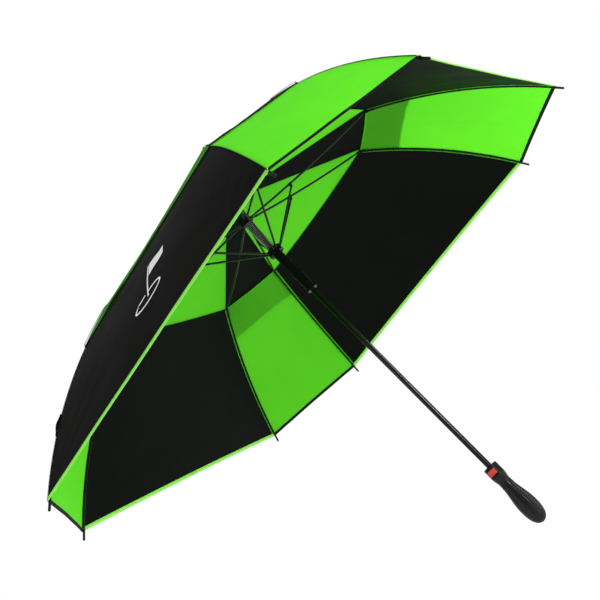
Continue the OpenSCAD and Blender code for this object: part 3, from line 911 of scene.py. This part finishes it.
def strap_frame():
    """Middle of the strap on the cloth, with its long, cross and outward directions."""
    def spot(ds=0.0, dt=0.0, lift=0.0):
        return skirt_point(STRAP_PANEL, STRAP_S + ds, STRAP_T + dt, lift)

    step = 0.02
    along = unit(spot(ds=step) - spot(ds=-step))
    cross = square_to(spot(dt=step) - spot(dt=-step), along)
    out = np.cross(along, cross)
    return spot(lift=STRAP_LIFT), along, cross, out if out[2] > 0 else -out


def closure_strap():
    """A webbing tie folded back on itself, with a snap at its free end."""
    middle, along, cross, out = strap_frame()
    path = [middle + along * x + out * (0.3 * MM + 0.5 * MM * sin(pi * (x / STRAP_HALF + 1) / 2))
            for x in np.linspace(STRAP_HALF, -STRAP_HALF, 18)]
    bend = path[-1]
    path += [bend - along * STRAP_FOLD_R * sin(b) + out * STRAP_FOLD_R * (1 - cos(b))
             for b in np.linspace(0.4, pi, 6)]
    turned_back, back = path[-1], STRAP_BACK * STRAP_HALF
    path += [turned_back + along * x + out * STRAP_ARCH * sin(pi * x / back) ** 2
             for x in np.linspace(3 * MM, back, 16)]
    path = np.array(path)
    across, run = np.repeat(cross[None], len(path), axis=0), run_of(path)
    strap = swept("closure_strap_webbing", path, across, np.cross(run, across), STRAP_WEBBING, BLACK_TAPE)
    snap_at = path[-1] - run[-1] * SNAP_FROM_END + out * 0.5 * MM
    points = [snap_at + along * x * r * MM + cross * y * r * MM + out * h * MM
              for r, h in SNAP_OUTLINE for x, y in wire(1, SNAP_SIDES)]
    count = len(points)
    faces = grid_faces(len(SNAP_OUTLINE), SNAP_SIDES, closed_columns=True)
    faces += [tuple(range(SNAP_SIDES)), tuple(range(count - 1, count - SNAP_SIDES - 1, -1))]
    snap = mesh_object("closure_strap_snap", points, faces, SNAP_STEEL)
    for piece, slot in ((strap, "fabric_black"), (snap, "spring_steel")):
        move_skirt_part(piece, STRAP_PANEL, 1, "lower")
        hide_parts("closure_strap")


closure_strap()

# ---------------------------------------------------------------- opening spring
SPRING_TURNS, SPRING_STEPS, SPRING_WIRE_R = 24, 28, 0.7 * MM
# The coils close up over this share of the spring at either end, to this share of their pitch.
CLOSED_SHARE, CLOSED_PITCH = 0.06, 0.25


def opening_spring():
    low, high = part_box("opening_spring")
    foot, top = low.z + SPRING_WIRE_R, high.z - SPRING_WIRE_R
    mean_r = (high.x - low.x) / 2 - SPRING_WIRE_R
    steps = SPRING_TURNS * SPRING_STEPS
    share = np.linspace(0, 1, steps)
    lower, upper = (0.5 - 0.5 * np.cos(pi * np.clip(x / CLOSED_SHARE, 0, 1)) for x in (share, 1 - share))
    climb = np.cumsum(CLOSED_PITCH + (1 - CLOSED_PITCH) * lower * upper)
    z = foot + (top - foot) * (climb - climb[0]) / (climb[-1] - climb[0])
    a = share * 2 * pi * SPRING_TURNS
    path = np.stack([mean_r * np.cos(a), mean_r * np.sin(a), z], axis=1)
    across = np.stack([np.cos(a), np.sin(a), 0 * a], axis=1)
    up = np.repeat(np.array([[0, 0, 1.0]]), steps, axis=0)
    spring = swept("opening_spring_coil", path, across, up, wire(SPRING_WIRE_R, 8), SPRING_STEEL)
    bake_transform(spring)
    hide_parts("opening_spring")


opening_spring()

# ---------------------------------------------------------------- grip
PALM_R, PALM_H, HEEL_POWER = 20.3 * MM, 38 * MM, 2.3
NECK_R, NECK_H = 12.8 * MM, 101 * MM
COLLAR_R, COLLAR_FOOT = 15.3 * MM, 118.5 * MM
RIDGE_PITCH, RIDGE_DEPTH, RIDGE_STEPS = 3.8 * MM, 0.6 * MM, 10
RIDGES_FROM, RIDGES_TO, RIDGES_FADE = 14 * MM, 92 * MM, 4 * MM


def grip_r(z):
    """Radius of the grip at a height above its lower end, before the ridges."""
    def eased(r0, r1, z0, z1):
        return r0 + (r1 - r0) * (1 - cos(pi * (z - z0) / (z1 - z0))) / 2

    if z < PALM_H:
        return PALM_R * max(0.0, 1 - ((PALM_H - z) / PALM_H) ** HEEL_POWER) ** (1 / HEEL_POWER)
    if z < NECK_H:
        return eased(PALM_R, NECK_R, PALM_H, NECK_H)
    return eased(NECK_R, COLLAR_R, NECK_H, COLLAR_FOOT)


def grip():
    """Ribbed rubber grip: fine rings round the palm, plain at the heel and the neck."""
    heel = [PALM_H * (1 - cos(a)) for a in np.linspace(0.12, 0.9, 14)]
    ridged = np.arange(heel[-1] + 0.2 * MM, COLLAR_FOOT, RIDGE_PITCH / RIDGE_STEPS)
    outline = []
    for z in [*heel, *ridged]:
        fade = np.clip((z - RIDGES_FROM) / RIDGES_FADE, 0, 1) * np.clip((RIDGES_TO - z) / RIDGES_FADE, 0, 1)
        groove = RIDGE_DEPTH * fade * (0.5 - 0.5 * cos(2 * pi * z / RIDGE_PITCH)) ** 3
        outline.append((grip_r(z) - groove, z - GRIP_MID))
    outline = [(2.0 * MM, -GRIP_MID), *outline, (COLLAR_R - 0.3 * MM, COLLAR_FOOT - GRIP_MID)]
    piece = turned("grip_ribbed", outline, GRIP_RUBBER, 96)
    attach(piece, "frame")
    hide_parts("grip")


grip()

# ---------------------------------------------------------------- finishes of the CAD nodes
CAD_FINISH = {
    "shaft_tube": SHAFT_BLACK, "ferrule": PLASTIC_BLACK, "rib_hub": PLASTIC_BLACK, "hub_wire": RIB_BLACK,
    "runner": PLASTIC_BLACK, "release_rod": RIB_BLACK, "grip_collar": PLASTIC_BLACK,
    "release_button": BUTTON_RED, "button_spring": SPRING_STEEL,
    "rib_arm": RIB_BLACK, "rib_rod": PLASTIC_BLACK, "rib_tip": PLASTIC_BLACK, "stretcher": RIB_BLACK}

for name, node in frame["nodes"].items():
    finish = CAD_FINISH.get(name) or CAD_FINISH.get(name.rstrip("0123456789").rstrip("_"))
    if finish is None:
        continue
    if node.data.materials:
        for n in range(len(node.data.materials)):
            node.data.materials[n] = finish
    else:
        node.data.materials.append(finish)

# ---------------------------------------------------------------- camera, floor and light
CAMERA_AT = Vector((1.6391, 0.8131, 0.0280))
CAMERA_HEADING, CAMERA_CLIMB, CAMERA_ROLL = radians(-152.505), radians(16.978), radians(-44.594)
LENS_MM, SENSOR_MM = 54.4, 36.0


def camera():
    """Stands as low as the grip, looks up under the canopy, and rolls so that the shaft leans."""
    data = bpy.data.cameras.new("camera")
    data.lens, data.sensor_width = LENS_MM, SENSOR_MM
    data.clip_start, data.clip_end = 0.02, 60.0
    eye = bpy.data.objects.new("camera", data)
    ahead = Vector((cos(CAMERA_CLIMB) * cos(CAMERA_HEADING), cos(CAMERA_CLIMB) * sin(CAMERA_HEADING),
                    sin(CAMERA_CLIMB)))
    level = ahead.to_track_quat("-Z", "Y").to_matrix().to_4x4()
    eye.matrix_world = Matrix.Translation(CAMERA_AT) @ level @ Matrix.Rotation(CAMERA_ROLL, 4, "Z")
    bpy.context.scene.collection.objects.link(eye)
    bpy.context.scene.camera = eye


FLOOR_HALF, FLOOR_GAP, FLOOR_GLOW = 40.0, 0.5 * MM, 0.62
WHITE = (1, 1, 1, 1)


def floor():
    """Plain white floor, bright enough to meet the white surround without a line."""
    nodes = Nodes("floor_white")
    tone = nodes.ramp(nodes.noise(scale=2.0, detail=2.0), grey(0.86), grey(0.88))
    roughness = nodes.spread(nodes.noise(scale=3.0), 0.9, 0.95)
    material = nodes.finish(tone, roughness, nodes.bump(nodes.noise(scale=40.0), 0.01 * MM),
                            Specular_IOR_Level=0.0, Emission_Color=WHITE, Emission_Strength=FLOOR_GLOW)
    size, level = FLOOR_HALF, cad_box[0].z - FLOOR_GAP
    corners = [(-size, -size, level), (size, -size, level), (size, size, level), (-size, size, level)]
    plane = mesh_object("floor", corners, [(0, 1, 2, 3)], material)


def soft_light(name, place, size, power, aim=(0, 0, 0.55)):
    data = bpy.data.lights.new(name, "AREA")
    data.shape, data.size, data.energy = "DISK", size, power
    lamp = bpy.data.objects.new(name, data)
    lamp.location = place
    lamp.rotation_mode = "QUATERNION"
    lamp.rotation_quaternion = (Vector(aim) - Vector(place)).to_track_quat("-Z", "Y")
    bpy.context.scene.collection.objects.link(lamp)


ROOM_LIGHT = 0.45


def surround():
    """White to the eye, and dimmer as a light so that the lamps shape the folds and the gloss."""
    world = bpy.data.worlds.new("surround")
    world.use_nodes = True
    tree = world.node_tree
    seen, room = tree.nodes["Background"], tree.nodes.new("ShaderNodeBackground")
    for light, strength in ((seen, 1.0), (room, ROOM_LIGHT)):
        light.inputs["Color"].default_value = WHITE
        light.inputs["Strength"].default_value = strength
    path, mix = tree.nodes.new("ShaderNodeLightPath"), tree.nodes.new("ShaderNodeMixShader")
    tree.links.new(path.outputs["Is Camera Ray"], mix.inputs[0])
    tree.links.new(room.outputs["Background"], mix.inputs[1])
    tree.links.new(seen.outputs["Background"], mix.inputs[2])
    tree.links.new(mix.outputs["Shader"], tree.nodes["World Output"].inputs["Surface"])
    bpy.context.scene.world = world
    bpy.context.scene.view_settings.view_transform = "Standard"


camera()
floor()
surround()
soft_light("key", (-1.2, 2.6, 1.3), 1.4, 55.0)
soft_light("fill", (2.6, -1.6, 1.6), 2.0, 30.0)
soft_light("gleam", (1.0, 2.4, 0.5), 0.4, 24.0, (0, 0, 0.2))

bpy.context.view_layer.update()
